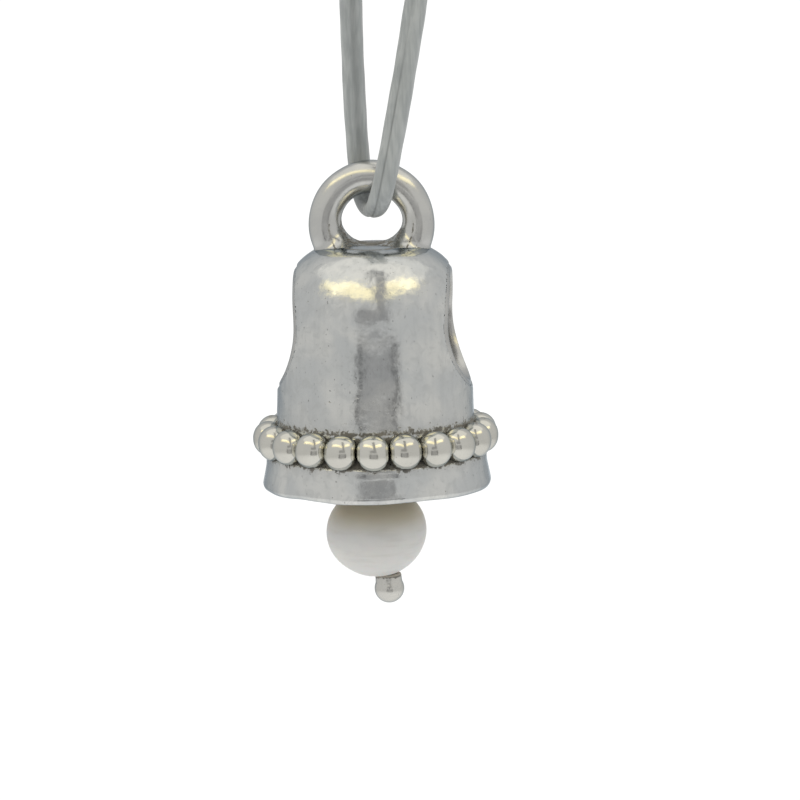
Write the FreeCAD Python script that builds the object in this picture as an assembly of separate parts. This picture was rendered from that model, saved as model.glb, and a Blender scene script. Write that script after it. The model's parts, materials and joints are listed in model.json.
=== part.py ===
import FreeCAD, Part
import math
import os

# Silver bell charm with a pearl clapper, hanging from a doubled cord. Millimetres, +Z up.
# The shapes are drawn with z = 0 at the bottom of the lip and the bell's axis on Z, and are
# lowered by HANG_Z when written, so that the origin is where a hook bears: the inside of the
# cord's loop, just under its knot.

Vec = FreeCAD.Vector

# Bell body: a thimble with a flared lip band, a groove for the balls, and a thick crown
LIP_R = 5.04            # outer radius of the lip
LIP_EDGE = 0.24         # rounding of the lip's outer edge
LIP_BAND_TOP = 1.38     # where the lip band ends and the groove starts
LIP_BAND_R = 4.84       # radius at the top of the lip band
GROOVE_R = 4.2          # radius at the bottom of the groove
GROOVE_TOP = 3.02       # where the groove ends and the thimble starts
SKIRT_R = 4.33          # radius of the thimble over its lower half
CROWN_Z = 10.72         # flat top of the crown
MOUTH_R = 4.35          # inner radius at the lip
CEILING_Z = 9.3         # top of the hollow

# Ring of balls round the skirt
BEAD_COUNT = 21
BEAD_RING_R = 4.73      # radius of the circle through the balls' centres
BEAD_Z = 2.2
BEAD_R = 0.69           # half width
BEAD_HALF_H = 0.76      # half height
FIRST_BEAD_DEG = -88.7

# Side-to-side hole, lined by a tube, for a bracelet
BORE_Z = 7.12
BORE_R = 2.45           # inside the tube
SLEEVE_R = 2.72         # outside the tube

# Bail: a round-wire ring standing on the crown
BAIL_R = 2.06           # radius of the wire's centre line
BAIL_WIRE_R = 0.715
BAIL_Z = 11.62          # centre of the ring
BAIL_SINK = 0.12        # how deep its legs are soldered into the crown
BAIL_TOP_Z = BAIL_Z + BAIL_R    # wire's centre where the cord bears

# Clapper: staple, jump ring, head pin and pearl, in line from the staple's wire downwards.
# The pearl is drilled off centre, so the line leans and its lower end is towards +X.
STAPLE_WIRE_R = 0.25
STAPLE_HALF_W = 0.75    # half the width between the legs' centre lines
STAPLE_Z = 2.57         # the wire's centre at the bottom of the U
STAPLE_TOP_Z = 4.62     # inside the tube's wall
LEAN_DEG = 3.5
RING_R = 0.9            # jump ring's centre line
RING_WIRE_R = 0.2
RING_DROP = 0.37        # from the staple's wire to the jump ring's centre
PIN_WIRE_R = 0.225
EYE_R = 0.525           # centre line of the head pin's eye
WRAP_R = 0.42           # centre line of the one turn of wire under the eye
WRAP_DROP = 2.2
PEARL_DROP = 4.67
PEARL_R = 2.2           # half width
PEARL_HALF_H = 1.98     # half height along the pin
PEARL_HOLE_R = 0.3
PEARL_HOLE_OFFSET = 0.35    # how far off centre the pearl is drilled
PEARL_FACE = 1.9        # from the pearl's centre to the flat worn round the hole's mouth
PEARL_FACE_R = 0.9
BALL_GAP = 0.02         # between that flat and the pin's end
COLLAR_R = 0.56         # neck between the pearl and the ball
BALL_R = 0.65
BALL_DROP = 0.66        # from the neck's flat top to the ball's centre

# Cord: one length doubled through the bail. Its route runs from the knot, down the back strand,
# under the bail's wire and up the front strand to the knot, as x, y, z from the wire's centre.
CORD_R = 0.5
CORD_ROUTE = [
    (-0.42, 0.28, 15.60),
    (-0.76, 0.70, 10.60),
    (-0.77, 1.05, 5.60),
    (-0.66, 1.31, 1.35),
    (-0.22, 1.33, -1.31),
    (0.34, -1.33, -1.31),
    (0.92, -1.34, 1.35),
    (1.72, -1.00, 5.60),
    (2.50, -0.68, 9.70),
    (1.90, -0.45, 13.20),
    (0.42, -0.28, 15.60),
]
HANG_Z = BAIL_TOP_Z + 15.2

# Knot: a pressed overhand knot and the cord's two cut tails
KNOT_R = 1.7
KNOT_RISE = 17.0        # knot's centre above the bail's wire
TAIL_LENGTH = 2.4
TAIL_LEAN = 0.22        # sideways run of a tail for each unit of its rise


def line(*ends):
    return Part.LineSegment(*[Vec(x, 0, z) for x, z in ends]).toShape()


def arc(*points):
    return Part.Arc(*[Vec(x, 0, z) for x, z in points]).toShape()


def curve(*points):
    spline = Part.BSplineCurve()
    spline.interpolate([Vec(x, 0, z) for x, z in points])
    return spline.toShape()


def turned(edges):
    """Solid of revolution about Z of a closed outline in the XZ plane."""
    face = Part.Face(Part.Wire(edges))
    return face.revolve(Vec(0, 0, 0), Vec(0, 0, 1), 360)


def bell_envelope():
    """The bell as if it were solid, with no hole through it."""
    lip_turn = LIP_EDGE * (1 - math.cos(math.pi / 4))
    return turned([
        line((0, 0), (LIP_R - LIP_EDGE, 0)),
        arc((LIP_R - LIP_EDGE, 0), (LIP_R - lip_turn, lip_turn), (LIP_R, LIP_EDGE)),
        curve((LIP_R, LIP_EDGE), (4.95, 0.68), (4.88, 1.05), (LIP_BAND_R, LIP_BAND_TOP)),
        arc((LIP_BAND_R, LIP_BAND_TOP), (GROOVE_R, 2.1), (SKIRT_R, GROOVE_TOP)),
        curve((SKIRT_R, GROOVE_TOP), (4.31, 4.6), (4.29, 6.6), (4.17, 8.1), (3.84, 9.1),
              (3.34, 9.88), (2.72, 10.46), (2.1, CROWN_Z)),
        line((2.1, CROWN_Z), (0, CROWN_Z)),
        line((0, CROWN_Z), (0, 0)),
    ])


def bell_hollow():
    below = -1.0
    return turned([
        line((0, below), (MOUTH_R, below)),
        line((MOUTH_R, below), (MOUTH_R, 0.15)),
        curve((MOUTH_R, 0.15), (4.0, 1.2), (3.66, 2.3), (3.52, 3.6), (3.5, 6.2), (3.3, 7.9),
              (2.8, 8.8), (2.0, CEILING_Z)),
        line((2.0, CEILING_Z), (0, CEILING_Z)),
        line((0, CEILING_Z), (0, below)),
    ])


def through_cylinder(radius):
    half = LIP_R + 1.0
    return Part.makeCylinder(radius, 2 * half, Vec(-half, 0, BORE_Z), Vec(1, 0, 0))


def bell_shell():
    return bell_envelope().cut(bell_hollow()).cut(through_cylinder(SLEEVE_R))


def bracelet_sleeve():
    tube = through_cylinder(SLEEVE_R).cut(through_cylinder(BORE_R))
    return tube.common(bell_envelope())


def bail():
    ring = Part.makeTorus(BAIL_R, BAIL_WIRE_R, Vec(0, 0, BAIL_Z), Vec(0, 1, 0))
    keep = 2 * (BAIL_R + BAIL_WIRE_R)
    above = Part.makeBox(keep, keep, keep, Vec(-keep / 2, -keep / 2, CROWN_Z - BAIL_SINK))
    return ring.common(above)


def ellipsoid(half_w, half_h):
    stretch = FreeCAD.Matrix()
    stretch.scale(half_w, half_w, half_h)
    return Part.makeSphere(1).transformGeometry(stretch)


def rim_bead(index):
    bearing = math.radians(FIRST_BEAD_DEG + index * 360 / BEAD_COUNT)
    bead = ellipsoid(BEAD_R, BEAD_HALF_H)
    bead.translate(Vec(BEAD_RING_R * math.cos(bearing), BEAD_RING_R * math.sin(bearing), BEAD_Z))
    return bead


def clapper_staple():
    """A U of wire in the YZ plane, both legs soldered into the underside of the tube."""
    w, bend_z = STAPLE_HALF_W, STAPLE_Z + STAPLE_HALF_W
    path = Part.Wire([
        Part.LineSegment(Vec(0, -w, STAPLE_TOP_Z), Vec(0, -w, bend_z)).toShape(),
        Part.Arc(Vec(0, -w, bend_z), Vec(0, 0, STAPLE_Z), Vec(0, w, bend_z)).toShape(),
        Part.LineSegment(Vec(0, w, bend_z), Vec(0, w, STAPLE_TOP_Z)).toShape(),
    ])
    return swept(path, STAPLE_WIRE_R, Vec(0, -w, STAPLE_TOP_Z), Vec(0, 0, -1))


def swept(path, radius, start, direction):
    section = Part.Wire(Part.makeCircle(radius, start, direction))
    return path.makePipeShell([section], True, False)


def leaned(shape):
    """The clapper's pieces are drawn straight down from the staple's wire, then leaned together."""
    shape.rotate(Vec(0, 0, STAPLE_Z), Vec(0, 1, 0), -LEAN_DEG)
    return shape


def jump_ring():
    centre = Vec(0, 0, STAPLE_Z - RING_DROP)
    return leaned(Part.makeTorus(RING_R, RING_WIRE_R, centre, Vec(0, 1, 0)))


def head_pin():
    """An eye, one turn of wire under it, the straight shank, and a necked ball at the end."""
    eye_z = STAPLE_Z - RING_DROP - RING_R
    shank_top = eye_z - EYE_R
    ball_top = STAPLE_Z - PEARL_DROP - PEARL_FACE - BALL_GAP
    overlap = 0.05
    down = Vec(0, 0, -1)
    eye = Part.makeTorus(EYE_R, PIN_WIRE_R, Vec(0, 0, eye_z), Vec(1, 0, 0))
    wrap = Part.makeTorus(WRAP_R, PIN_WIRE_R, Vec(0, 0, STAPLE_Z - WRAP_DROP), Vec(0, 0, 1))
    shank_length = shank_top - ball_top + overlap
    shank = Part.makeCylinder(PIN_WIRE_R, shank_length, Vec(0, 0, shank_top), down)
    ball = Part.makeSphere(BALL_R, Vec(0, 0, ball_top - BALL_DROP))
    collar = Part.makeCylinder(COLLAR_R, BALL_DROP, Vec(0, 0, ball_top), down)
    return leaned(eye.fuse([wrap, shank, collar, ball]))


def pearl():
    centre_z = STAPLE_Z - PEARL_DROP
    bead = ellipsoid(PEARL_R, PEARL_HALF_H)
    bead.translate(Vec(-PEARL_HOLE_OFFSET, 0, centre_z))
    down = Vec(0, 0, -1)
    hole = Part.makeCylinder(PEARL_HOLE_R, 3 * PEARL_R, Vec(0, 0, centre_z + 1.5 * PEARL_R), down)
    face = Part.makeCylinder(PEARL_FACE_R, PEARL_R, Vec(0, 0, centre_z - PEARL_FACE), down)
    return leaned(bead.cut(hole).cut(face))


def cord_path(route):
    """Straight runs joined by tangent arcs. Each arc takes 0.45 of the shorter run beside it."""
    points = [Vec(x, y, z + BAIL_TOP_Z) for x, y, z in route]
    edges, radii = [], []
    reached = points[0]
    for before, corner, after in zip(points, points[1:], points[2:]):
        run_in, run_out = corner - before, after - corner
        tangent = 0.45 * min(run_in.Length, run_out.Length)
        half_turn = run_in.getAngle(run_out) / 2
        radius = tangent / math.tan(half_turn)
        run_in.normalize()
        run_out.normalize()
        start, end = corner - run_in * tangent, corner + run_out * tangent
        inward = run_out - run_in
        inward.normalize()
        middle = corner + inward * radius * (1 / math.cos(half_turn) - 1)
        edges.append(Part.LineSegment(reached, start).toShape())
        edges.append(Part.Arc(start, middle, end).toShape())
        radii.append(round(radius, 2))
        reached = end
    edges.append(Part.LineSegment(reached, points[-1]).toShape())
    return Part.Wire(edges), radii


def hanging_cord():
    path, radii = cord_path(CORD_ROUTE)
    first, second = (Vec(*point) for point in CORD_ROUTE[:2])
    start = first + Vec(0, 0, BAIL_TOP_Z)
    tube = swept(path, CORD_R, start, second - first)
    print("cord arc radii", radii, "length", round(path.Length, 2))
    print("cord volume", round(tube.Volume, 3), "section x length",
          round(math.pi * CORD_R ** 2 * path.Length, 3))
    return tube


def cord_knot():
    centre_z = BAIL_TOP_Z + KNOT_RISE
    body = Part.makeSphere(KNOT_R, Vec(0, 0, centre_z))
    rise = KNOT_R + TAIL_LENGTH
    tails = []
    for side in (-1, 1):
        direction = Vec(side * TAIL_LEAN, -side * TAIL_LEAN / 2, 1)
        tails.append(Part.makeCylinder(CORD_R, rise, Vec(side * 0.55, 0, centre_z), direction))
    return body.fuse(tails)


def write(name, shape):
    shape.translate(Vec(0, 0, -HANG_Z))
    if not shape.isValid() or len(shape.Solids) != 1:
        print("CHECK", name, "valid", shape.isValid(), "solids", len(shape.Solids))
    shape.Solids[0].exportStep(f"parts/{name}.step")


os.makedirs("parts", exist_ok=True)
for part in (bell_shell, bracelet_sleeve, bail, clapper_staple, jump_ring, head_pin, pearl,
             hanging_cord, cord_knot):
    write(part.__name__, part())
for number in range(BEAD_COUNT):
    write(f"rim_bead_{number + 1:02d}", rim_bead(number))
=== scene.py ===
import json
import math

import bpy
import numpy as np
from mathutils import Matrix, Vector


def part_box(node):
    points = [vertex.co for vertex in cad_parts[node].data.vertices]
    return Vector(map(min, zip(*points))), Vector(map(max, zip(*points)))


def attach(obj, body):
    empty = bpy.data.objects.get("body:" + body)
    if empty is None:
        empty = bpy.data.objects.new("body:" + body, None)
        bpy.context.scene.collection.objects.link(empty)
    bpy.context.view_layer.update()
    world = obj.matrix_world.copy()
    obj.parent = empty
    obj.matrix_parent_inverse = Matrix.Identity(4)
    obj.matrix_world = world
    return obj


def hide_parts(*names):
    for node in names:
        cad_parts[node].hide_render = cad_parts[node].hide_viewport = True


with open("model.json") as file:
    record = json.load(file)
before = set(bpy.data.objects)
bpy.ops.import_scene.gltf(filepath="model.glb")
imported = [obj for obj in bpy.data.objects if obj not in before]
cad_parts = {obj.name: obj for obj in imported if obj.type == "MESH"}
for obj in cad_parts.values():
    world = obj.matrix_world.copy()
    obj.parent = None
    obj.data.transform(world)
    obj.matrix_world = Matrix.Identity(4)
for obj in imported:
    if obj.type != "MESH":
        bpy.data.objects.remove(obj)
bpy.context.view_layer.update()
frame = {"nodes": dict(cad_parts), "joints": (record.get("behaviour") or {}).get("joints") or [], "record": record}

# A small cast silver bell charm with a pearl clapper, hanging from a doubled cord.
# Shapes are worked out in millimetres, with z = 0 at the bottom of the lip and the bell's axis
# on Z. put_down() turns them into the frame's metres.

MM = 0.001
RNG = np.random.default_rng(7)
JOINTS = {joint["name"]: joint for joint in frame["joints"]}
MOUNTS = {mount["name"]: mount for mount in frame["record"]["mounts"]}

SHELL_LOW, SHELL_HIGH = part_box("bell_shell")
LIP_Z = SHELL_LOW.z                                 # the lip's bottom in the frame, metres


def local(point):
    """A frame point in metres as millimetres from the axis and above the lip."""
    return np.array([point[0] / MM, point[1] / MM, (point[2] - LIP_Z) / MM])


def extent(node):
    low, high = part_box(node)
    return local(low), local(high)


LIP_R = SHELL_HIGH.x / MM
CROWN_Z = (SHELL_HIGH.z - LIP_Z) / MM
BORE_Z = local(MOUNTS["bracelet_bore"]["pos_m"])[2]
BORE_R = MOUNTS["bracelet_bore"]["dims"]["r_mm"]
SLEEVE_R = (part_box("bracelet_sleeve")[1].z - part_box("bracelet_sleeve")[0].z) / MM / 2
BAIL_TOP = local(JOINTS["bell_swing"]["pos_m"])     # wire's centre at the top of the bail
BAIL_LOW, BAIL_HIGH = extent("bail")
WIRE_R = BAIL_HIGH[2] - BAIL_TOP[2]
BAIL_R = (BAIL_HIGH[0] - BAIL_LOW[0]) / 2 - WIRE_R
BAIL_Z = BAIL_TOP[2] - BAIL_R
STAPLE = local(JOINTS["clapper_sway"]["pos_m"])     # staple's wire where the jump ring hangs
PIN_UP = np.array(JOINTS["pearl_spin"]["axis"], float)
PIN_SIDE = np.array(JOINTS["clapper_swing"]["axis"], float)
PIN_BACK = np.cross(PIN_UP, PIN_SIDE)
BEADS = sorted(name for name in frame["nodes"] if name.startswith("rim_bead_"))


# ---------------------------------------------------------------- camera

VIEW_WIDTH = 35.2423        # millimetres across the picture at the bell's axis
CAMERA_AZIMUTH = math.radians(3.0)
CAMERA_ELEVATION = math.radians(9.0)
CAMERA_ROLL = math.radians(1.15)
CAMERA_DISTANCE = 0.2       # metres
AIM = (1.08, 3.75)          # the camera points at this: mm right of the axis, mm above the lip


def make_camera():
    data = bpy.data.cameras.new("camera")
    data.sensor_width = 36.0
    data.lens = data.sensor_width * CAMERA_DISTANCE / (VIEW_WIDTH * MM)
    data.clip_start, data.clip_end = 0.01, 50
    camera = bpy.data.objects.new("camera", data)
    bpy.context.scene.collection.objects.link(camera)
    a, e = CAMERA_AZIMUTH, CAMERA_ELEVATION
    right = Vector((math.cos(a), math.sin(a), 0))
    back = Vector((math.sin(a) * math.cos(e), -math.cos(a) * math.cos(e), math.sin(e)))
    target = Vector((0, 0, LIP_Z + AIM[1] * MM)) + right * AIM[0] * MM
    camera.location = target + back * CAMERA_DISTANCE
    look = (-back).to_track_quat("-Z", "Y")
    roll = Matrix.Rotation(-CAMERA_ROLL, 4, "Z")
    camera.rotation_mode = "QUATERNION"
    camera.rotation_quaternion = (look.to_matrix().to_4x4() @ roll).to_quaternion()
    bpy.context.scene.camera = camera


make_camera()
bpy.context.scene.view_settings.view_transform = "Standard"


# ---------------------------------------------------------------- mesh helpers

def put_down(points):
    """Millimetres above the lip to metres in the frame."""
    points = np.asarray(points, float) * MM
    points[:, 2] += LIP_Z
    return points


def make_piece(name, verts, faces, material, body, replaces, normals=None, oxide_and_shade=None):
    """A named piece that rides on a body; the darkness mark gives each vertex how dark it is, from tarnish and, on
    the cord and the sleeve, painted shade.
    """
    mesh = bpy.data.meshes.new(name)
    mesh.from_pydata(put_down(verts).tolist(), [], [tuple(int(i) for i in f) for f in faces])
    mesh.validate()
    mesh.shade_smooth()
    if oxide_and_shade is not None:
        mesh.attributes.new("oxide_and_shade", "FLOAT", "POINT").data.foreach_set("value", oxide_and_shade)
    if normals is not None:
        mesh.normals_split_custom_set_from_vertices(normals.tolist())
    mesh.materials.append(material)
    piece = bpy.data.objects.new(name, mesh)
    bpy.context.scene.collection.objects.link(piece)
    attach(piece, body)
    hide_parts(*replaces)
    return piece


def grid_faces(rows, columns, wrap_rows=False):
    """Quads over a grid of vertices numbered row by row, closed round each row."""
    r, c = np.meshgrid(np.arange(rows if wrap_rows else rows - 1), np.arange(columns),
                       indexing="ij")
    r2, c2 = (r + 1) % rows, (c + 1) % columns
    quads = np.stack([r * columns + c, r * columns + c2, r2 * columns + c2, r2 * columns + c], -1)
    return quads.reshape(-1, 4)


def capped(verts, faces, rows, columns):
    """Closes both ends of a tube of rings with a fan to a middle point."""
    verts = np.asarray(verts)
    first, last = verts[:columns].mean(0), verts[-columns:].mean(0)
    base = len(verts)
    fans = []
    for c in range(columns):
        n = (c + 1) % columns
        fans.append((base, n, c))
        fans.append((base + 1, (rows - 1) * columns + c, (rows - 1) * columns + n))
    return np.vstack([verts, first, last]), [tuple(f) for f in faces] + fans


def smooth_steps(path, count):
    """Points evenly spaced along a Catmull-Rom curve through a list of points."""
    path = np.asarray(path, float)
    ends = np.vstack([2 * path[0] - path[1], path, 2 * path[-1] - path[-2]])
    t = np.linspace(0, len(path) - 1, 40 * len(path))
    i = np.minimum(t.astype(int), len(path) - 2)
    u = (t - i)[:, None]
    a, b, c, d = ends[i], ends[i + 1], ends[i + 2], ends[i + 3]
    fine = 0.5 * (2 * b + (c - a) * u + (2 * a - 5 * b + 4 * c - d) * u ** 2
                  + (3 * b - a - 3 * c + d) * u ** 3)
    return evenly(fine, count)


def evenly(points, count):
    steps = np.linalg.norm(np.diff(points, axis=0), axis=1)
    along = np.concatenate([[0], np.cumsum(steps)])
    wanted = np.linspace(0, along[-1], count)
    return np.stack([np.interp(wanted, along, points[:, k]) for k in range(points.shape[1])], -1)


def tube_frames(path, up, across=None):
    """Tangent, side and top directions along a path, turning as little as possible.

    Given a direction across the path, the sides stay as near to it as they can.
    """
    tangents = np.gradient(path, axis=0)
    tangents /= np.linalg.norm(tangents, axis=1)[:, None]
    side = np.cross(up, tangents[0])
    side /= np.linalg.norm(side)
    sides = []
    for tangent in tangents:
        side = side if across is None else np.asarray(across, float)
        side = side - tangent * np.dot(side, tangent)
        side = side / np.linalg.norm(side)
        sides.append(side)
    sides = np.array(sides)
    return tangents, sides, np.cross(tangents, sides)


def tube(path, section, up, sizes=None, across=None):
    """Verts and faces of a closed tube: section is a ring of (side, top) offsets."""
    tangents, sides, tops = tube_frames(path, np.asarray(up, float), across)
    sizes = np.ones(len(path)) if sizes is None else np.asarray(sizes)
    rings = (path[:, None, :]
             + sizes[:, None, None] * (section[None, :, :1] * sides[:, None, :]
                                       + section[None, :, 1:] * tops[:, None, :]))
    columns = len(section)
    faces = grid_faces(len(path), columns)[:, ::-1]
    return capped(rings.reshape(-1, 3), faces, len(path), columns)


def round_section(radius, count=24):
    angle = np.linspace(0, 2 * math.pi, count, endpoint=False)
    return radius * np.stack([np.cos(angle), np.sin(angle)], -1)


def together(*parts):
    verts, faces, base = [], [], 0
    for part_verts, part_faces in parts:
        verts.append(np.asarray(part_verts))
        faces += [tuple(int(i) + base for i in f) for f in part_faces]
        base += len(part_verts)
    return np.vstack(verts), faces


# ---------------------------------------------------------------- surfaces from fields
# The cast pieces are smooth blends of simple solids. A field is below 0 inside the metal. Its
# surface is meshed on a grid of cells, and then every vertex is moved onto it.

PROBE = 0.02                # a slope is read this far to each side of a point, mm
PULLS = 5                   # how many times each vertex is moved towards the surface
FLATTEST = 0.05             # least squared slope that a move is divided by
BODY_CELL, BAIL_CELL, PEARL_CELL = 0.08, 0.05, 0.07


def softmax(a, b, k):
    """The larger of two fields, rounded over a width k: a filleted intersection."""
    h = np.clip(k - np.abs(a - b), 0, None) / k
    return np.maximum(a, b) + h * h * h * k / 6


def softmin(a, b, k):
    return -softmax(-a, -b, k)


def slopes(field, points):
    out = np.empty_like(points)
    for axis in range(3):
        shift = np.zeros(3)
        shift[axis] = PROBE
        out[:, axis] = (field(*(points + shift).T) - field(*(points - shift).T)) / (2 * PROBE)
    return out


def mesh_field(field, low, high, step):
    """Verts, quads and normals of the surface where field is 0."""
    low, high = np.asarray(low, float), np.asarray(high, float)
    axes = [np.arange(low[k], high[k] + step, step) for k in range(3)]
    shape = tuple(len(axis) for axis in axes)
    values = np.empty(shape, np.float32)
    xs, ys = np.meshgrid(axes[0], axes[1], indexing="ij")
    for k, z in enumerate(axes[2]):
        values[:, :, k] = field(xs.ravel(), ys.ravel(), np.full(xs.size, z)).reshape(xs.shape)
    inside = values < 0
    corners = [(i, j, k) for i in (0, 1) for j in (0, 1) for k in (0, 1)]

    def part(array, corner):
        return array[tuple(slice(c, n - 1 + c) for c, n in zip(corner, shape))]

    count = sum(part(inside, c).astype(np.int8) for c in corners)
    active = (count > 0) & (count < 8)
    cells = np.argwhere(active)
    number = np.full(active.shape, -1, np.int64)
    number[active] = np.arange(len(cells))
    total, crossings = np.zeros((len(cells), 3)), np.zeros(len(cells))
    for start in corners:
        for axis in range(3):
            if start[axis]:
                continue
            end = tuple(c + (a == axis) for a, c in enumerate(start))
            a = values[tuple((cells + start).T)].astype(float)
            b = values[tuple((cells + end).T)].astype(float)
            crossed = (a < 0) != (b < 0)
            share = np.where(crossed, a / np.where(crossed, a - b, 1), 0)
            spot = cells + np.array(start, float)
            spot[:, axis] += share
            total += spot * crossed[:, None]
            crossings += crossed
    points = low + step * total / crossings[:, None]
    furthest = 0.3 * step
    for _ in range(PULLS):
        slope = slopes(field, points)
        away = field(*points.T) / np.maximum((slope ** 2).sum(1), FLATTEST)
        points -= np.clip(away, -furthest, furthest)[:, None] * slope
    quads = []
    for axis in range(3):
        u, v = [a for a in range(3) if a != axis]
        index = [slice(None)] * 3
        ahead = list(index)
        index[axis], ahead[axis] = slice(0, -1), slice(1, None)
        changed = inside[tuple(index)] != inside[tuple(ahead)]
        edges = np.argwhere(changed)
        edges = edges[(edges[:, u] > 0) & (edges[:, v] > 0)]
        edges = edges[(edges[:, u] < shape[u] - 1) & (edges[:, v] < shape[v] - 1)]
        leaving = inside[tuple(edges.T)]
        around = []
        for du, dv in ((1, 1), (0, 1), (0, 0), (1, 0)):
            cell = edges.copy()
            cell[:, u] -= du
            cell[:, v] -= dv
            around.append(number[tuple(cell.T)])
        quad = np.stack(around, -1)
        flip = leaving if axis == 1 else ~leaving
        quad[flip] = quad[flip][:, ::-1]
        quads.append(quad)
    normals = slopes(field, points)
    normals /= np.linalg.norm(normals, axis=1)[:, None]
    return points, np.vstack(quads), normals


class Outline:
    """Signed distance to a closed outline in (radius, height), read from a fine grid."""

    STEP, MARGIN = 0.03, 1.5

    def __init__(self, points):
        points = np.asarray(points, float)
        self.low = points.min(0) - self.MARGIN
        size = points.max(0) + self.MARGIN - self.low
        rows, columns = (np.ceil(size / self.STEP).astype(int) + 1)
        r, z = np.meshgrid(self.low[0] + self.STEP * np.arange(rows),
                           self.low[1] + self.STEP * np.arange(columns), indexing="ij")
        spot = np.stack([r.ravel(), z.ravel()], -1)
        best = np.full(len(spot), np.inf)
        within = np.zeros(len(spot), bool)
        for a, b in zip(points, np.roll(points, -1, axis=0)):
            run = b - a
            if not np.any(run):
                continue
            t = np.clip((spot - a) @ run / (run @ run), 0, 1)
            best = np.minimum(best, ((spot - a - t[:, None] * run) ** 2).sum(1))
            spans = (a[1] > spot[:, 1]) != (b[1] > spot[:, 1])
            if spans.any():
                cross = a[0] + (spot[:, 1] - a[1]) * run[0] / (run[1] or 1.0)
                within ^= spans & (spot[:, 0] < cross)
        signed = np.sqrt(best) * np.where(within, -1, 1)
        self.grid = signed.reshape(r.shape)

    def __call__(self, radius, height):
        u = (radius - self.low[0]) / self.STEP
        v = (height - self.low[1]) / self.STEP
        u = np.clip(u, 0, self.grid.shape[0] - 1.001)
        v = np.clip(v, 0, self.grid.shape[1] - 1.001)
        i, j = u.astype(int), v.astype(int)
        u, v = u - i, v - j
        g = self.grid
        return ((g[i, j] * (1 - u) + g[i + 1, j] * u) * (1 - v)
                + (g[i, j + 1] * (1 - u) + g[i + 1, j + 1] * u) * v)


# ---------------------------------------------------------------- cord and its knot
# The cord's route from the knot, down the back strand, under the bail's wire and up the front
# strand, in millimetres from the wire's centre.
CORD_ROUTE = [
    (-0.42, 0.28, 15.60),
    (-0.76, 0.70, 10.60),
    (-0.77, 1.05, 5.60),
    (-0.66, 1.31, 1.35),
    (-0.42, 1.33, -1.47),
    (0.36, -1.33, -1.47),
    (1.00, -1.34, 1.35),
    (1.82, -1.00, 5.60),
    (2.50, -0.68, 9.70),
    (1.90, -0.45, 13.20),
    (0.42, -0.28, 15.60),
]
CORD_R = 0.5
CORD_HALF_WIDTH, CORD_HALF_DEPTH = CORD_R * 0.985, CORD_R * 0.86
CORD_SQUARENESS = 2.5                       # 2 is a circle
FRONT_CREASE, BACK_CREASE = 0.13, 0.17      # how far each crease lies from the cord's middle
FRONT_DEPTH, BACK_DEPTH, CREASE_WIDTH = 0.06, 0.05, 0.07
KNOT_TURNS = 3
KNOT_COIL_R, KNOT_TURN_R, KNOT_HALF_H = 1.08, 0.44, 1.05
KNOT_CORE_R = 0.66
TAIL_RISE = 4.1                             # from inside the knot to the cut end, about


def spline_points(points):
    """Points along the NURBS line that has the given control points."""
    data = bpy.data.curves.new("route", "CURVE")
    data.dimensions = "3D"
    data.resolution_u = 24
    spline = data.splines.new("NURBS")
    spline.points.add(len(points) - 1)
    for place, point in zip(spline.points, points):
        place.co = (*point, 1)
    spline.order_u = 3
    spline.use_endpoint_u = True
    carrier = bpy.data.objects.new("route", data)
    bpy.context.scene.collection.objects.link(carrier)
    bpy.context.view_layer.update()
    mesh = bpy.data.meshes.new_from_object(carrier)
    found = np.array([v.co[:] for v in mesh.vertices])
    bpy.data.objects.remove(carrier)
    bpy.data.curves.remove(data)
    bpy.data.meshes.remove(mesh)
    return found


def cord_section(count=48):
    """A pressed cord: a squarish round with a lengthwise crease on each face."""
    angle = np.linspace(0, 2 * math.pi, count, endpoint=False)
    c, s = np.cos(angle), np.sin(angle)
    power = CORD_SQUARENESS
    size = (np.abs(c) ** power + np.abs(s) ** power) ** (-1 / power)
    side, top = CORD_HALF_WIDTH * size * c, CORD_HALF_DEPTH * size * s
    for place, depth, face in ((FRONT_CREASE, FRONT_DEPTH, 1), (BACK_CREASE, BACK_DEPTH, -1)):
        near = np.exp(-((side - place) / CREASE_WIDTH) ** 2) * (top * face > 0)
        top -= face * depth * near
    return np.stack([side, top], -1)


def make_cord(look):
    route = np.array(CORD_ROUTE) + BAIL_TOP
    path = evenly(spline_points(route), 260)
    along = np.linspace(0, 1, len(path))
    bight = along[np.argmin(path[:, 2])]
    pinch = 1 - 0.22 * np.exp(-((along - bight) / 0.028) ** 2)
    uneven = 1 + 0.012 * np.sin(along * 61) + 0.01 * np.sin(along * 143 + 1)
    verts, faces = tube(path, cord_section(), (0, 1, 0), pinch * uneven, (-1, 0, 0))
    side, top = cord_section().T
    # painted shade: a thin dark line in the front crease that fades above the bail, and a soft darker band down
    # the back face
    front = 0.4 * np.clip(1 - np.abs(side - FRONT_CREASE) / 0.06, 0, 1)
    back = 0.3 * np.exp(-((side + 0.1) / 0.2) ** 2)
    fade = np.clip((7.0 - path[:, 2] + BAIL_TOP[2]) / 4.0, 0.1, 1)[:, None]
    shade = np.where(top > 0, fade * front, back)
    crease_shade = np.append(shade.ravel(), [0, 0])
    cord = make_piece("cord_loop", verts, faces, look, "cord", ("hanging_cord",),
                      oxide_and_shade=crease_shade)
    knot = make_knot(look, route)
    metres = put_down(path)


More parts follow.
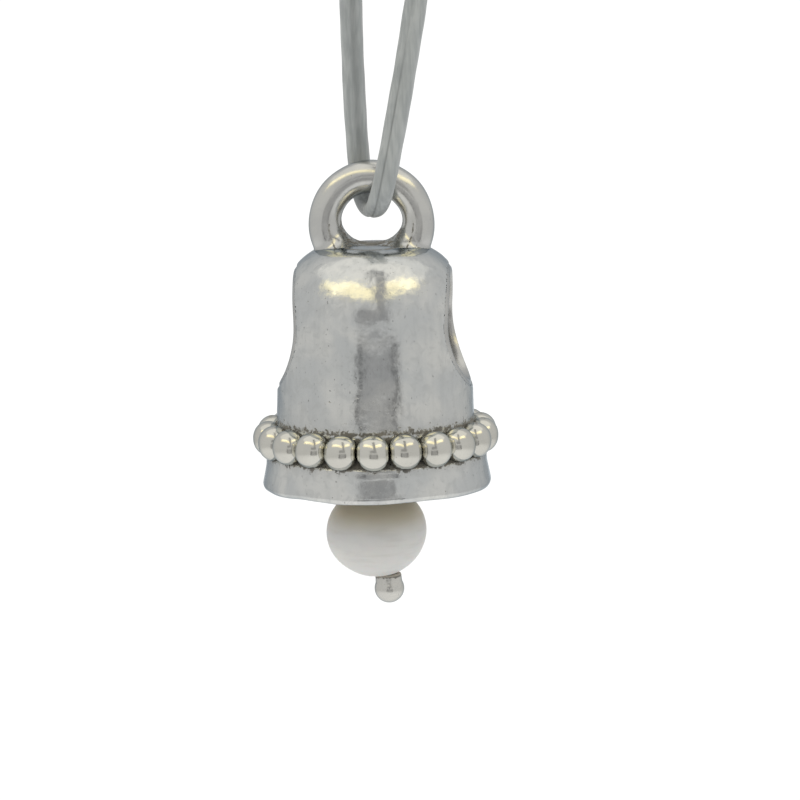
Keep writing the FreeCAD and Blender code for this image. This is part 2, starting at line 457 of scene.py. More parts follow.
def make_knot(look, route):
    """A barrel knot: turns of the cord wound round its own two strands, and two cut tails."""
    top = extent("cord_knot")[1][2]
    foot = route[0][2] - 0.35
    middle = foot + 1.6
    t = np.linspace(0, 1, 220)
    turn = 2 * math.pi * KNOT_TURNS * t
    barrel = KNOT_COIL_R * (1 - 0.16 * (2 * t - 1) ** 2)
    coil = np.stack([barrel * np.cos(turn), barrel * np.sin(turn),
                     middle - KNOT_HALF_H + 2 * KNOT_HALF_H * t], -1)
    tuck_in = np.array([[0.35, -0.25, coil[0, 2] - 0.15], [0.8, -0.2, coil[0, 2] - 0.06]])
    tuck_out = np.array([[0.7, 0.5, coil[-1, 2] + 0.1], [0.3, 0.4, coil[-1, 2] + 0.3]])
    coil_path = smooth_steps(np.vstack([tuck_in, coil[4:-4:6], tuck_out]), 260)
    parts = [tube(coil_path, round_section(KNOT_TURN_R, 20), (0, 0, 1))]
    for side in (-1, 1):
        start = np.array([side * 0.45, 0, middle - 0.2])
        bend = start + np.array([side * 0.3, -side * 0.1, 0.5 * TAIL_RISE])
        spread = 0.55 + 0.2 * TAIL_RISE
        end = np.array([side * spread, -side * 0.1 * TAIL_RISE, top - 0.25])
        parts.append(tube(smooth_steps([start, bend, end], 40), cord_section() * 0.92, (0, 1, 0)))
    core = smooth_steps([[0, 0, foot + 0.1], [0, 0, middle], [0, 0, top - 3.4]], 30)
    parts.append(tube(core, round_section(KNOT_CORE_R, 20), (0, 1, 0)))
    verts, faces = together(*parts)
    return make_piece("knot_turns", verts, faces, look, "cord", ("cord_knot",))


# ---------------------------------------------------------------- looks

class Look:
    """A material's node tree around one Principled shader, in millimetres."""

    def __init__(self, name, **sockets):
        self.material = bpy.data.materials.new(name)
        self.material.use_nodes = True
        self.tree = self.material.node_tree
        self.shader = self.tree.nodes["Principled BSDF"]
        for key, value in sockets.items():
            self.shader.inputs[key.replace("_", " ")].default_value = value
        place = self.tree.nodes.new("ShaderNodeTexCoord").outputs["Object"]
        self.mm = self.vector("MULTIPLY", place, (1000, 1000, 1000))

    def put(self, socket, value):
        if isinstance(value, bpy.types.NodeSocket):
            self.tree.links.new(value, socket)
        elif isinstance(value, tuple) and socket.type == "RGBA":
            socket.default_value = (*value, 1)
        else:
            socket.default_value = value

    def vector(self, operation, a, b):
        node = self.tree.nodes.new("ShaderNodeVectorMath")
        node.operation = operation
        self.put(node.inputs[0], a)
        self.put(node.inputs[1], b)
        return node.outputs[0]

    def math(self, operation, *values):
        node = self.tree.nodes.new("ShaderNodeMath")
        node.operation = operation
        for socket, value in zip(node.inputs, values):
            self.put(socket, value)
        return node.outputs[0]

    def noise(self, scale, detail=2.0, stretch=(1, 1, 1), warp=0.0):
        node = self.tree.nodes.new("ShaderNodeTexNoise")
        self.put(node.inputs["Vector"], self.vector("MULTIPLY", self.mm, stretch))
        self.put(node.inputs["Scale"], scale)
        self.put(node.inputs["Detail"], detail)
        self.put(node.inputs["Distortion"], warp)
        return node.outputs["Fac"]

    def step(self, value, low, high, to_low=0.0, to_high=1.0):
        node = self.tree.nodes.new("ShaderNodeMapRange")
        node.interpolation_type = "SMOOTHSTEP"
        for socket, number in zip(node.inputs, (value, low, high, to_low, to_high)):
            self.put(socket, number)
        return node.outputs[0]

    def blend(self, share, a, b):
        node = self.tree.nodes.new("ShaderNodeMix")
        node.data_type = "RGBA"
        self.put(node.inputs[0], share)
        self.put(node.inputs[6], a)
        self.put(node.inputs[7], b)
        return node.outputs[2]

    def along(self, axis):
        """How far along X, Y or Z, in millimetres."""
        node = self.tree.nodes.new("ShaderNodeSeparateXYZ")
        self.put(node.inputs[0], self.mm)
        return node.outputs[axis]

    def distance(self):
        """How far from the object's origin, in millimetres."""
        node = self.tree.nodes.new("ShaderNodeVectorMath")
        node.operation = "LENGTH"
        self.put(node.inputs[0], self.mm)
        return node.outputs["Value"]

    def mark(self, name):
        node = self.tree.nodes.new("ShaderNodeAttribute")
        node.attribute_name = name
        return node.outputs["Fac"]

    def bump(self, height, millimetres, below=None):
        node = self.tree.nodes.new("ShaderNodeBump")
        node.inputs["Distance"].default_value = millimetres * MM
        self.put(node.inputs["Height"], height)
        if below is not None:
            self.put(node.inputs["Normal"], below)
        return node.outputs[0]

    def done(self, color, roughness, normal=None):
        self.put(self.shader.inputs["Base Color"], color)
        self.put(self.shader.inputs["Roughness"], roughness)
        if normal is not None:
            self.put(self.shader.inputs["Normal"], normal)
        return self.material


GRAZING_TINT = (0.50, 0.55, 0.60, 1.0)      # worn silver mirrors less where it is seen edge-on
LINE_GREY = (0.51, 0.525, 0.525)            # polishing lines
PATCH_GREY = (0.60, 0.61, 0.60)             # cloudy patches
PIT_GREY = (0.22, 0.22, 0.215)
THIN_COAT = (0.30, 0.285, 0.25)             # stain around the dark coat
COAT_BLACK, COAT_BROWN = (0.11, 0.11, 0.105), (0.37, 0.345, 0.30)
PAINTED_CORNER_LIGHT = (0.60, 0.555, 0.475)          # painted light: a lighter coat in the deepest corners, lifting the shade there


def silver(name, base, tint, rough, relief=1.0, streaks=1.0, specks=0.73):
    """Worn, oxidised silver. The mesh's darkness mark says where the dark coat stays; on the sleeve it also holds
    painted shade.

    relief scales the unevenness and the patches, streaks the polishing lines. specks is how
    rare the small dark specks are.
    """
    look = Look(name, Specular_Tint=GRAZING_TINT)
    cloud = look.noise(0.5, 3, warp=0.5)
    swell = look.noise(1.1, 2)
    grain = look.noise(6, 3)
    brushed = look.noise(1, 2, stretch=(3.2, 3.2, 0.22))
    scratch = look.step(look.noise(1, 1, stretch=(1.6, 6, 9), warp=0.2), 0.69, 0.72)
    oxide_and_shade = look.mark("oxide_and_shade")
    # the dark coat, with a ragged edge, and specks of it that are denser near its edge
    ragged = look.math("MULTIPLY_ADD", look.noise(5.6, 5, warp=0.6), 1.3, -0.65)
    coat = look.step(look.math("ADD", oxide_and_shade, ragged), 0.42, 0.62)
    near = look.math("MULTIPLY", oxide_and_shade, 0.12)
    speck = look.step(look.math("ADD", look.noise(5.2, 3), near), specks, specks + 0.04)
    dark = look.math("MAXIMUM", coat, look.math("MULTIPLY", speck, 0.7))
    # the clean metal
    clean = look.blend(look.step(cloud, 0.35, 0.65), base, tint)
    lined = look.step(brushed, 0.45, 0.75, 0.0, 0.3 * streaks)
    clean = look.blend(lined, clean, LINE_GREY)
    patches = look.step(look.noise(2.2, 4, warp=0.8), 0.48, 0.68, 0.0, 0.4 * relief)
    clean = look.blend(patches, clean, PATCH_GREY)
    pits = look.step(look.noise(10, 2, stretch=(1, 1, 0.6)), 0.70, 0.74, 0.0, 0.75 * relief)
    clean = look.blend(pits, clean, PIT_GREY)
    stain_and_shade = look.blend(look.math("MULTIPLY", oxide_and_shade, 0.35), clean, THIN_COAT)
    tarnish_and_painted_lift = look.blend(look.noise(2.2, 2), COAT_BLACK, COAT_BROWN)
    # painted light: where the mark is highest, in the deepest corners, the coat is made lighter to lift the shade
    # there
    tarnish_and_painted_lift = look.blend(look.step(oxide_and_shade, 0.68, 0.9, 0.0, 0.8), tarnish_and_painted_lift, PAINTED_CORNER_LIGHT)
    color = look.blend(dark, stain_and_shade, tarnish_and_painted_lift)
    # the coat is rough and hardly metallic
    fine = look.step(grain, 0.25, 0.75, rough - 0.04, rough + 0.06)
    rougher = look.math("MULTIPLY_ADD", dark, 0.3, fine)
    look.put(look.shader.inputs["Metallic"], look.math("MULTIPLY_ADD", dark, -0.85, 1.0))
    normal = look.bump(swell, 0.030 * relief)
    normal = look.bump(brushed, 0.006 * relief * streaks, normal)
    normal = look.bump(grain, 0.0028 * relief, normal)
    normal = look.bump(scratch, -0.0008 * relief, normal)
    normal = look.bump(dark, -0.008 * relief, normal)
    return look.done(color, rougher, normal)


def pearl_look():
    """Pale nacre, with painted warm shade on its top, under the bell's lip, and dark round the pin's hole."""
    look = Look("pearl_nacre", Coat_Weight=0.3, Coat_Roughness=0.3, Subsurface_Weight=0.1,
                Subsurface_Scale=0.0006, Specular_IOR_Level=0.6)
    cloud = look.noise(0.55, 3, warp=0.8)
    rings = look.noise(1, 3, stretch=(0.5, 0.5, 3.2), warp=0.3)
    body = look.blend(look.step(cloud, 0.3, 0.7), (0.86, 0.855, 0.82), (0.80, 0.80, 0.785))
    body = look.blend(look.step(rings, 0.45, 0.7, 0.0, 0.3), body, (0.66, 0.65, 0.605))
    lip = LIP_Z / MM
    # painted shade: the top, under the bell's lip, turns a warm brown
    top = look.step(look.along("Z"), lip - 2.1, lip - 0.9, 0.0, 0.75)
    stain_and_shade = look.blend(top, body, (0.78, 0.68, 0.46))
    color = look.blend(look.mark("oxide_and_shade"), stain_and_shade, (0.16, 0.15, 0.13))
    fine = look.noise(3.5, 3)
    normal = look.bump(fine, 0.006)
    return look.done(color, look.step(fine, 0.3, 0.7, 0.34, 0.46), normal)


def cord_look(name, pale, dark):
    """Pressed fibres that run along the cord; the mesh's darkness mark is painted shade in the creases and down
    the back face.
    """
    look = Look(name, Sheen_Weight=0.15, Specular_IOR_Level=0.35)
    fibres = look.noise(1, 3, stretch=(7, 7, 0.7))
    cloud = look.noise(0.8, 3)
    grain = look.noise(12, 3)
    color = look.blend(look.step(fibres, 0.3, 0.7, 0.35, 1.0), dark, pale)
    color = look.blend(look.step(cloud, 0.45, 0.75, 0.0, 0.35), color, dark)
    # painted shade: near black where the mesh's darkness mark is high
    color = look.blend(look.mark("oxide_and_shade"), color, (0.035, 0.04, 0.045))
    normal = look.bump(grain, 0.006)
    normal = look.bump(fibres, 0.014, normal)
    return look.done(color, look.step(grain, 0.3, 0.7, 0.36, 0.5), normal)


# The numbers are roughness, relief, streaks and, where given, specks.
BODY_SILVER = silver("bell_silver", (0.83, 0.83, 0.80), (0.70, 0.715, 0.71), 0.16, 1.0, 0.6)
BAIL_SILVER = silver("bail_silver", (0.75, 0.745, 0.71), (0.67, 0.67, 0.65), 0.21, 0.35, 0.2)
BEAD_SILVER = silver("bead_silver", (0.80, 0.785, 0.72), (0.74, 0.725, 0.665), 0.14, 0.3, 0.0, 0.76)
WIRE_SILVER = silver("wire_silver", (0.83, 0.815, 0.76), (0.75, 0.735, 0.69), 0.2, 0.5, 0.0, 0.76)
SLEEVE_SILVER = silver("sleeve_silver", (0.72, 0.715, 0.69), (0.62, 0.615, 0.60), 0.24, 0.25, 0.3, 0.8)
PEARL = pearl_look()
CORD = cord_look("cord_fibre", (0.57, 0.60, 0.61), (0.37, 0.40, 0.415))

make_cord(CORD)


# ---------------------------------------------------------------- bell body and bail

# Outlines as (radius, height). The lower one runs up the lip and into the groove of the balls.
GROOVE_TOP = (4.38, 2.74)
OUTER_LOWER = [(LIP_R - 0.09, 0.68), (LIP_R - 0.16, 1.05), (4.84, 1.44), (4.68, 1.56),
               (4.4, 1.78), (4.26, 2.05), (4.26, 2.4), GROOVE_TOP]
OUTER_UPPER = [GROOVE_TOP, (4.345, 3.3), (4.31, 4.6), (4.29, 6.6), (4.17, 8.1), (3.84, 9.1),
               (3.34, 9.86), (2.72, 10.38), (2.1, 10.61), (1.3, 10.7)]
MOUTH_R, CEILING_Z = 4.35, 9.3
INNER = [(MOUTH_R, 0.15), (4.0, 1.2), (3.66, 2.3), (3.52, 3.6), (3.5, 6.2), (3.3, 7.9),
         (2.8, 8.8), (2.0, CEILING_Z)]
LIP_EDGE = 0.24                             # how round the lip's lower edge is
LIP_TOP, GROOVE_Z = 1.5, 2.1
BEAD_RING_R, BEAD_Z = 4.73, 2.2
BEAD_HALF = np.array([0.7, 0.75, 0.775])    # outward, sideways and up
BEAD_SQUARENESS = 2.08                      # 2 is a ball
BEAD_FLAT = 0.704                           # how far out their sides go flat, where they meet
WALL = smooth_steps(OUTER_UPPER, 90)


def body_outlines():
    turn = np.linspace(-math.pi / 2, 0, 8)
    edge = np.stack([LIP_R - LIP_EDGE + LIP_EDGE * np.cos(turn),
                     LIP_EDGE + LIP_EDGE * np.sin(turn)], -1)
    outer = np.vstack([[(0, 0)], edge, smooth_steps(OUTER_LOWER, 60), WALL, [(0, CROWN_Z)]])
    below = -3
    inner = np.vstack([[(0, below), (MOUTH_R, below)], smooth_steps(INNER, 90), [(0, CEILING_Z)]])
    return Outline(outer), Outline(inner)


OUTER, INNER_SPACE = body_outlines()


def cast_wobble(x, y, z):
    """Small unevenness of a hand-finished casting, in millimetres."""
    return (0.012 * np.sin(1.7 * x + 0.8 * z + 0.4) * np.sin(1.3 * y - 0.6 * z)
            + 0.006 * np.sin(3.9 * x - 2.1 * y) * np.sin(3.1 * z + 1.2 * y + 0.5))


def body_field(x, y, z):
    radius = np.hypot(x, y)
    bearing = np.arctan2(y, x)
    lip = np.exp(-np.clip(z, 0, None) / 0.8)
    wave = np.sin(5 * bearing + 0.4) + 0.7 * np.sin(9 * bearing + 2.1) * np.sin(2 * bearing)
    height = z + lip * (0.035 - 0.03 * wave)
    metal = softmax(OUTER(radius, height), -INNER_SPACE(radius, z), 0.16)
    through = SLEEVE_R - np.hypot(y, z - BORE_Z)
    return softmax(metal + cast_wobble(x, y, z), through, 0.14)


def bead_bearings():
    return [math.atan2(*(np.add(*extent(name))[[1, 0]])) for name in BEADS]


def near_beads(points):
    """How near each point is to the closest ball of the rim: 1 where they touch, 0 at 0.3 mm."""
    x, y, z = points.T
    pitch = 2 * math.pi / len(BEADS)
    off = (np.arctan2(y, x) - bead_bearings()[0] + pitch / 2) % pitch - pitch / 2
    out = np.hypot(x, y) * np.cos(off) - BEAD_RING_R
    side = np.hypot(x, y) * np.sin(off)
    gap = np.sqrt(out ** 2 + side ** 2 + ((z - BEAD_Z) * 0.92) ** 2) - BEAD_HALF[0]
    return np.clip(1 - gap / 0.3, 0, 1)


def bail_distance(x, y, z):
    """How far a point is from the surface of the bail's ring of wire."""
    return np.hypot(np.hypot(x, z - BAIL_Z) - BAIL_R, y) - WIRE_R


def body_oxide(points):
    """Where the dark coat stays on the bell: in the groove, round the bail's foot and inside."""
    x, y, z = points.T
    radius = np.hypot(x, y)
    inside = 0.36 * np.clip((-INNER_SPACE(radius, z) + 0.35) / 0.3, 0, 1) * (z > 0.5)
    groove = 0.62 * np.clip((0.74 - np.abs(z - GROOVE_Z)) / 0.14, 0, 1) * (radius < LIP_R - 0.1)
    fringe = 0.5 * np.clip(1 - (z - GROOVE_TOP[1]) / 0.5, 0, 1) * (z > BEAD_Z)
    fringe += 0.3 * np.clip(1 - (z - 2.9) / 1.5, 0, 1) * (z > 2.9)
    fringe += 0.45 * np.clip(1 - (LIP_TOP - z) / 0.4, 0, 1) * (z < BEAD_Z)
    bore_rim = np.abs(np.hypot(y, z - BORE_Z) - SLEEVE_R)
    rim = 0.04 * np.clip(1 - bore_rim / 0.1, 0, 1)
    bail = 0.45 * np.clip(1 - bail_distance(x, y, z) / 0.16, 0, 1)
    # an oval line in front of the bail's foot, and a patch behind it, between the legs
    oval = np.hypot(x / 1.12, (z + 0.158 * y - 10.56) / 0.2)
    post = 0.65 * np.exp(-((oval - 1) / 0.16) ** 2) * ((y < 0) & (z > 10.1))
    behind = 0.6 * np.clip((1.25 - np.abs(x)) / 0.3, 0, 1) * (z > 10.5)
    behind = behind * np.clip((y + 1.1) / 0.3, 0, 1) * (np.abs(y) < 1.2)
    beads = 0.72 * near_beads(points)
    return np.clip(np.max([inside, groove, fringe, beads, rim, bail, post, behind], 0), 0, 1)


def make_body():
    reach = LIP_R + 0.3
    points, quads, normals = mesh_field(body_field, (-reach, -reach, -0.25),
                                        (reach, reach, CROWN_Z + 0.25), BODY_CELL)
    make_piece("bell_body", points, quads, BODY_SILVER, "bell", ("bell_shell",),
               normals, oxide_and_shade=body_oxide(points))


def bail_field(x, y, z):
    """A ring of wire run into the crown, with solder that fills the space between its legs."""
    bearing = np.arctan2(z - BAIL_Z, x)
    worn = 0.012 + 0.012 * np.sin(3 * bearing + 1) + 0.007 * np.sin(7 * bearing)
    ring = bail_distance(x, y, z) + worn
    body = body_field(x, y, z)
    inward = np.clip((2.25 - np.abs(x)) / 1.25, 0, 1)
    fillet = 0.4 + 2.1 * inward ** 2 * (3 - 2 * inward)
    ring = softmin(ring, body + 0.05 + 0.1 * fillet, fillet)
    return softmax(ring, -body - 0.04, 0.04)


def bail_oxide(x, y, z):
    """The dark coat inside the ring, between its legs, in the marks on them and at the seam."""
    across = np.hypot(x, z - BAIL_Z)
    inner = np.clip((BAIL_R - WIRE_R + 0.11 - across) / 0.07, 0, 1) * 0.47
    saddle = 0.7 * np.clip((1.3 - np.abs(x)) / 0.8, 0, 1) * np.clip((11.35 - z) / 0.3, 0, 1)
    saddle *= np.where(y < 0, np.clip((y + 0.75) / 0.3, 0.3, 1), 1)
    marks = 0.62 * np.exp(-((across - BAIL_R + 0.22) / 0.06) ** 2) * (y < 0)
    marks *= np.clip((12.1 - z) / 0.5, 0, 1)
    seam = 0.42 * np.clip(1 - np.abs(body_field(x, y, z)) / 0.06, 0, 1)
    return np.clip(np.max([inner, saddle, marks, seam], 0), 0, 1)


def make_bail():
    reach = BAIL_R + WIRE_R + 0.2
    points, quads, normals = mesh_field(bail_field, (-reach, -WIRE_R - 0.6, CROWN_Z - 1.0),
                                        (reach, WIRE_R + 0.6, BAIL_HIGH[2] + 0.15), BAIL_CELL)
    make_piece("bail_ring", points, quads, BAIL_SILVER, "bell", ("bail",),
               normals, oxide_and_shade=bail_oxide(*points.T))


def make_sleeve():
    """The tube through the bell; its saddle-shaped ends sit just under the bell's surface."""
    columns = 160
    turns = np.linspace(0, 2 * math.pi, columns, endpoint=False)
    inner, outer = BORE_R, SLEEVE_R + 0.005
    edge, corner, straight = 0.06, 0.02, 0.3
    end = [(outer, straight), (outer, edge), (outer - corner, corner), (outer - edge, 0.0),
           (inner + edge, 0.0), (inner + corner, corner), (inner, edge), (inner, straight)]
    profile = [(side, r, back) for side in (-1, 1) for r, back in end[::side]]
    rows = []
    for side, radius, back in profile:
        y, up = radius * np.cos(turns), radius * np.sin(turns)
        wall = np.interp(BORE_Z + up, WALL[:, 1], WALL[:, 0])
        x = side * (np.sqrt(np.maximum(wall ** 2 - y ** 2, 1)) - 0.09 - back)
        rows.append(np.stack([x, y, BORE_Z + up], -1))
    verts = np.concatenate(rows)
    faces = grid_faces(len(rows), columns, wrap_rows=True)
    # painted shade: over a light tarnish, darker the deeper into the tube
    depth = 4.0 - np.abs(verts[:, 0])
    oxide_and_shade = np.clip(0.1 + depth * 0.12, 0, 0.5)
    make_piece("bore_sleeve", verts, faces, SLEEVE_SILVER, "bell",
               ("bracelet_sleeve",), oxide_and_shade=oxide_and_shade)


# ---------------------------------------------------------------- rim balls

def make_beads():
    rows, columns = 26, 36
    for name, bearing in zip(BEADS, bead_bearings()):
        up = np.linspace(-math.pi / 2, math.pi / 2, rows)[:, None]
        around = np.linspace(0, 2 * math.pi, columns, endpoint=False)[None, :]
        unit = np.stack([np.cos(up) * np.cos(around), np.cos(up) * np.sin(around),
                         np.sin(up) * np.ones_like(around)], -1).reshape(-1, 3)
        size = (np.abs(unit) ** BEAD_SQUARENESS).sum(1) ** (-1 / BEAD_SQUARENESS)
        half = BEAD_HALF * (1 + RNG.uniform(-0.02, 0.02, 3))
        spot = unit * size[:, None] * half
        tilt, shift = RNG.uniform(-0.1, 0.1), RNG.uniform(-0.02, 0.02, 3)
        spot[:, 1] += tilt * spot[:, 2] * 0.5
        spot += shift
        spot[:, 1] = softmin(BEAD_FLAT, np.abs(spot[:, 1]), 0.12) * np.sign(spot[:, 1])
        outward, sideways = spot[:, 0], spot[:, 1]
        c, s = math.cos(bearing), math.sin(bearing)
        x = (BEAD_RING_R + outward) * c - sideways * s
        y = (BEAD_RING_R + outward) * s + sideways * c
        verts = np.stack([x, y, BEAD_Z + spot[:, 2]], -1)
        sides = (np.abs(sideways) - 0.72) / 0.06
        back = (-0.1 - outward) / 0.3
        ends = (np.abs(spot[:, 2]) - 0.66) / 0.12 * (outward < 0.2)
        oxide_and_shade = 0.5 * np.clip(np.max([sides, back, ends], 0), 0, 1)
        number = name.split("_")[-1]
        make_piece("bead_" + number, verts, grid_faces(rows, columns), BEAD_SILVER, "bell",
                   (name,), oxide_and_shade=oxide_and_shade)


# ---------------------------------------------------------------- clapper

def clapper_point(across, back, drop):
    """A point of the leaning clapper: drop is measured down the pin from the staple's wire."""
    return (np.asarray(STAPLE) + np.multiply.outer(across, PIN_SIDE)
            + np.multiply.outer(back, PIN_BACK) - np.multiply.outer(drop, PIN_UP))


# Drops are measured down the pin from the staple's wire.
RING_R, RING_WIRE_R, RING_DROP = 0.9, 0.2, 0.37
PIN_WIRE_R, EYE_R, EYE_DROP = 0.225, 0.525, 1.27
PEARL_DROP, PEARL_R, PEARL_HALF_H, PEARL_OFFSET = 4.67, 2.2, 1.98, 0.35
PEARL_FACE, PEARL_HOLE_R = 1.9, 0.3
BALL_R, BALL_DROP = 0.65, 0.66              # the drop is from the ball's flat top to its middle


def make_staple():
    """A U of wire, and a blob of solder at the foot of each leg."""
    wide, wire_r, solder_h = 0.75, 0.25, 0.42
    top = BORE_Z - SLEEVE_R + 0.15
    turn = np.linspace(math.pi, 2 * math.pi, 24)
    bend = np.stack([0 * turn, wide * np.cos(turn), STAPLE[2] + wide + wide * np.sin(turn)], -1)
    path = np.vstack([[(0, -wide, top)], bend, [(0, wide, top)]])
    parts = [tube(evenly(path, 70), round_section(wire_r), (1, 0, 0))]
    rows, columns = 10, 28
    drops = np.linspace(0, solder_h, rows)[:, None]
    spread = 0.24 + 0.32 * (1 - drops / solder_h) ** 2.2
    turns = np.linspace(0, 2 * math.pi, columns, endpoint=False)
    for side in (-1, 1):
        blob = np.stack([spread * np.cos(turns), side * wide + spread * np.sin(turns) * 0.9,
                         top + 0.02 - drops + 0 * turns], -1).reshape(-1, 3)
        parts.append(capped(blob, grid_faces(rows, columns)[:, ::-1], rows, columns))
    verts, faces = together(*parts)
    oxide_and_shade = np.clip(0.35 + (verts[:, 2] - STAPLE[2]) * 0.2, 0, 0.8)
    make_piece("staple_wire", verts, faces, WIRE_SILVER, "bell",
               ("clapper_staple",), oxide_and_shade=oxide_and_shade)


def make_jump_ring():
    """A ring of wire whose ends meet at a hairline joint."""
    joint, gap = 0.9, 0.022
    turn = np.linspace(joint + gap, joint + 2 * math.pi - gap, 120)
    path = clapper_point(RING_R * np.cos(turn), 0 * turn, RING_DROP - RING_R * np.sin(turn))
    verts, faces = tube(path, round_section(RING_WIRE_R, 20), PIN_BACK)
    make_piece("link_ring", verts, faces, WIRE_SILVER, "link", ("jump_ring",),
               oxide_and_shade=np.full(len(verts), 0.3))


def make_head_pin():
    """One wire: two turns round the shank, up into the eye, and down through the pearl."""
    wrap_r, wrap_foot, wrap_h = 0.42, 2.33, 0.42
    turn = np.linspace(0.3, 0.3 + 3.4 * math.pi, 70)
    wraps = [(wrap_r * math.cos(a), wrap_r * math.sin(a), wrap_foot - wrap_h * k / (len(turn) - 1))
             for k, a in enumerate(turn)]
    rise = [(0.2, -0.36, 1.86), (0.0, -0.4, 1.66)]
    around = np.linspace(-0.75 * math.pi + 0.2, 1.5 * math.pi - 0.45, 60)
    eye = [(0, EYE_R * math.cos(a), EYE_DROP - EYE_R * math.sin(a)) for a in around]
    ball_top = PEARL_DROP + PEARL_FACE + 0.02
    shank = [(0, 0, 1.95), (0, 0, 2.4), (0, 0, 3.4), (0, 0, 4.6), (0, 0, 5.8), (0, 0, ball_top)]
    course = smooth_steps(wraps + rise + eye + shank, 420)
    parts = [tube(clapper_point(*course.T), round_section(PIN_WIRE_R * 0.96, 20), PIN_SIDE)]
    columns = 48
    turns = np.linspace(0, 2 * math.pi, columns, endpoint=False)
    # radius and drop of the short collar on the ball's top, and of the ball
    neck = [(0.36, 0.0), (0.5, 0.0), (0.55, 0.02), (0.57, 0.08), (0.575, 0.22), (0.585, 0.36)]
    swing = np.linspace(math.radians(24), -math.pi / 2 + 0.02, 26)
    globe = [(BALL_R * math.cos(a), BALL_DROP - BALL_R * math.sin(a)) for a in swing]
    rows = []
    for radius, drop in neck + globe:
        uneven = 1 + 0.02 * np.sin(2 * turns + 0.6) + 0.008 * np.sin(5 * turns + drop)
        rows.append(clapper_point(radius * uneven * np.cos(turns), radius * np.sin(turns),
                                  ball_top + drop + 0 * turns))
    ball = np.concatenate(rows)
    parts.append(capped(ball, grid_faces(len(rows), columns), len(rows), columns))
    verts, faces = together(*parts)
    drops = (np.asarray(STAPLE) - verts) @ PIN_UP
    collar = np.clip(1.25 - (drops - ball_top) / 0.17, 0, 1)
    oxide_and_shade = np.where(drops > ball_top - 0.05, collar, 0.3)
    make_piece("pin_and_ball", verts, faces, WIRE_SILVER, "clapper",
               ("head_pin",), oxide_and_shade=oxide_and_shade)


def pearl_field(x, y, z):
    """A near-round pearl, drilled off-centre and flat where the pin's ball touches it."""
    from_top = np.stack([x, y, z], -1) - STAPLE
    across, back, drop = from_top @ PIN_SIDE, from_top @ PIN_BACK, -(from_top @ PIN_UP)
    down = drop - PEARL_DROP
    swell = 1 + 0.008 * np.sin(2.1 * across + 1.1 * down) + 0.006 * np.sin(2.7 * back - down)
    scaled = np.sqrt(((across + PEARL_OFFSET) / PEARL_R) ** 2 + (back / PEARL_R) ** 2
                     + (down / PEARL_HALF_H) ** 2)
    round_body = (scaled - 1.008 * swell) * PEARL_HALF_H
    flat = down - PEARL_FACE
    hole = PEARL_HOLE_R - np.hypot(across, back)
    return softmax(softmax(round_body, flat, 0.1), hole, 0.12)


def make_pearl():
    centre, reach = clapper_point(-PEARL_OFFSET, 0, PEARL_DROP), PEARL_R + 0.25
    points, quads, normals = mesh_field(pearl_field, centre - reach, centre + reach, PEARL_CELL)
    from_top = points - STAPLE
    hole = np.hypot(from_top @ PIN_SIDE, from_top @ PIN_BACK)
    oxide_and_shade = np.clip(1 - (hole - PEARL_HOLE_R - 0.05) / 0.12, 0, 1) * 0.9
    make_piece("clapper_pearl", points, quads, PEARL, "pearl", ("pearl",), normals,
               oxide_and_shade=oxide_and_shade)


make_body()
make_bail()
make_sleeve()
make_beads()
make_staple()
make_jump_ring()
make_head_pin()
make_pearl()


# ---------------------------------------------------------------- floor and light

FLOOR_Z = -0.24                                     # metres
FLOOR_REACH = 24.0
CENTRE = Vector((0, 0, LIP_Z + 5 * MM))             # the middle of the bell
FLOOR_DROP = (CENTRE.z - FLOOR_Z) / MM              # from there down to the floor, mm
FLOOR_GLOW = (1.0, 1.0, 0.99)
WORLD_GREY = (0.59, 0.59, 0.585)
WARM, SOFT_WHITE = (1.0, 0.83, 0.30), (1.0, 0.96, 0.84)
KEY_ELEVATION, KEY_HEIGHT, KEY_RADIANCE = 47, 0.16, 0.72


def make_floor():
    """A pale floor that glows softly, most of all in a lane that runs away behind the object."""
    r = FLOOR_REACH
    mesh = bpy.data.meshes.new("studio_floor")
    mesh.from_pydata([(x, y, FLOOR_Z) for x, y in ((-r, -r), (r, -r), (r, r), (-r, r))],
                     [], [(0, 1, 2, 3)])
    floor = bpy.data.objects.new("studio_floor", mesh)
    bpy.context.scene.collection.objects.link(floor)
    look = Look("floor_white", Roughness=1.0, Specular_IOR_Level=0.0)
    back = look.along("Y")
    aside = look.math("DIVIDE", look.math("ABSOLUTE", look.along("X")),
                      look.math("ADD", back, 200.0))
    ahead = look.step(back, 1.6 * FLOOR_DROP, 3.3 * FLOOR_DROP)
    lane = look.math("MULTIPLY", look.step(aside, 0.14, 0.32, 1.0, 0.0), ahead)
    pool = look.step(look.distance(), 1.6 * FLOOR_DROP, 4 * FLOOR_DROP, 0.78, 0.58)
    look.put(look.shader.inputs["Emission Color"], FLOOR_GLOW)
    look.put(look.shader.inputs["Emission Strength"], look.math("MULTIPLY_ADD", lane, 0.5, pool))
    mesh.materials.append(look.done((0.0, 0.0, 0.0), 1.0))


def aim(thing, azimuth, elevation, distance):
    """Puts a lamp or card that far from the object, seen from the camera's side, facing it."""
    a = math.radians(azimuth) + CAMERA_AZIMUTH
    e = math.radians(elevation)
    away = Vector((math.sin(a) * math.cos(e), -math.cos(a) * math.cos(e), math.sin(e)))
    thing.location = CENTRE + away * distance
    thing.rotation_euler = away.to_track_quat("Z", "Y").to_euler()


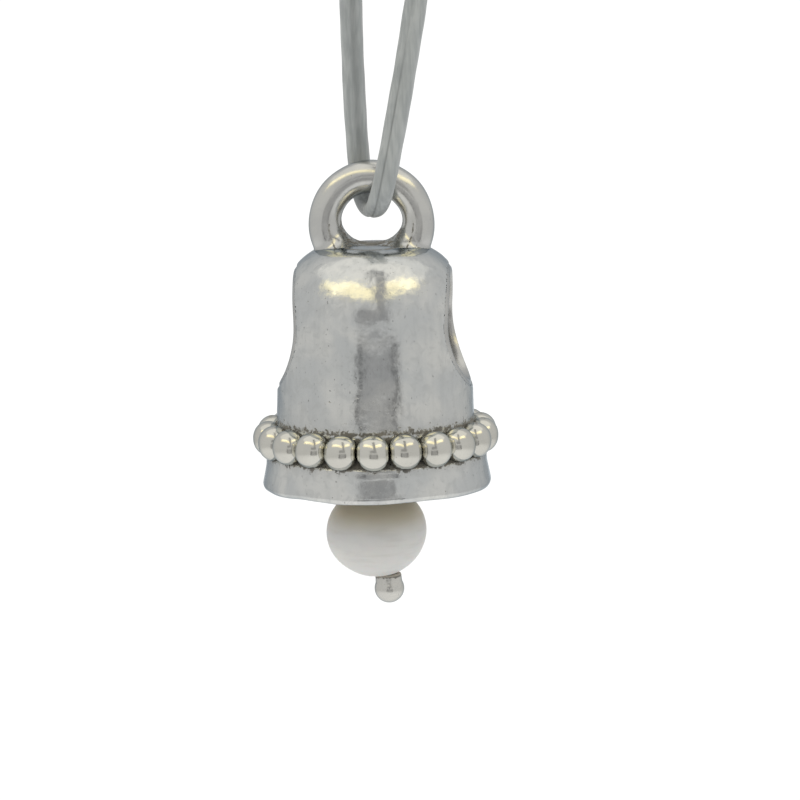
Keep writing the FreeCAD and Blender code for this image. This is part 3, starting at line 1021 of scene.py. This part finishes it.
def softbox(name, azimuth, elevation, width, height, radiance, color, distance=0.6):
    """An area lamp whose face has the given radiance."""
    data = bpy.data.lights.new(name, "AREA")
    data.shape = "RECTANGLE"
    data.size, data.size_y = width, height
    data.energy = radiance * math.pi * width * height
    data.color = color
    lamp = bpy.data.objects.new(name, data)
    bpy.context.scene.collection.objects.link(lamp)
    aim(lamp, azimuth, elevation, distance)


def card(name, azimuth, elevation, width, height, shade, distance=0.5):
    """A grey card that shows only in reflections."""
    mesh = bpy.data.meshes.new(name)
    w, h = width / 2, height / 2
    mesh.from_pydata([(-w, -h, 0), (w, -h, 0), (w, h, 0), (-w, h, 0)], [], [(0, 1, 2, 3)])
    thing = bpy.data.objects.new(name, mesh)
    bpy.context.scene.collection.objects.link(thing)
    material = bpy.data.materials.new(name)
    material.use_nodes = True
    tree = material.node_tree
    tree.nodes.remove(tree.nodes["Principled BSDF"])
    glow = tree.nodes.new("ShaderNodeEmission")
    glow.inputs["Strength"].default_value = shade
    tree.links.new(glow.outputs[0], tree.nodes["Material Output"].inputs["Surface"])
    mesh.materials.append(material)
    thing.visible_camera = False
    thing.visible_shadow = False
    aim(thing, azimuth, elevation, distance)


def make_light():
    """Two warm softboxes to the sides, one above, and the grey cards that the silver mirrors."""
    world = bpy.data.worlds.new("studio")
    world.use_nodes = True
    world.node_tree.nodes["Background"].inputs["Color"].default_value = (*WORLD_GREY, 1)
    bpy.context.scene.world = world
    # azimuth and elevation in degrees, width and height in metres, then how bright
    softbox("key_left", -36, KEY_ELEVATION, 0.82, KEY_HEIGHT, KEY_RADIANCE, WARM)
    softbox("key_right", 44, KEY_ELEVATION, 0.58, KEY_HEIGHT, KEY_RADIANCE, WARM)
    softbox("top", 0, 86, 1.3, 0.75, 0.25, SOFT_WHITE)
    card("camera_card", 3, -16, 0.42, 0.26, 0.17)
    card("camera_core", 3, -16, 0.28, 0.25, 0.37, 0.49)
    card("camera_body", 1, 13, 0.34, 0.13, 0.33)
    card("dark_gap", 10, 49, 0.12, 0.56, 0.34)


make_floor()
make_light()
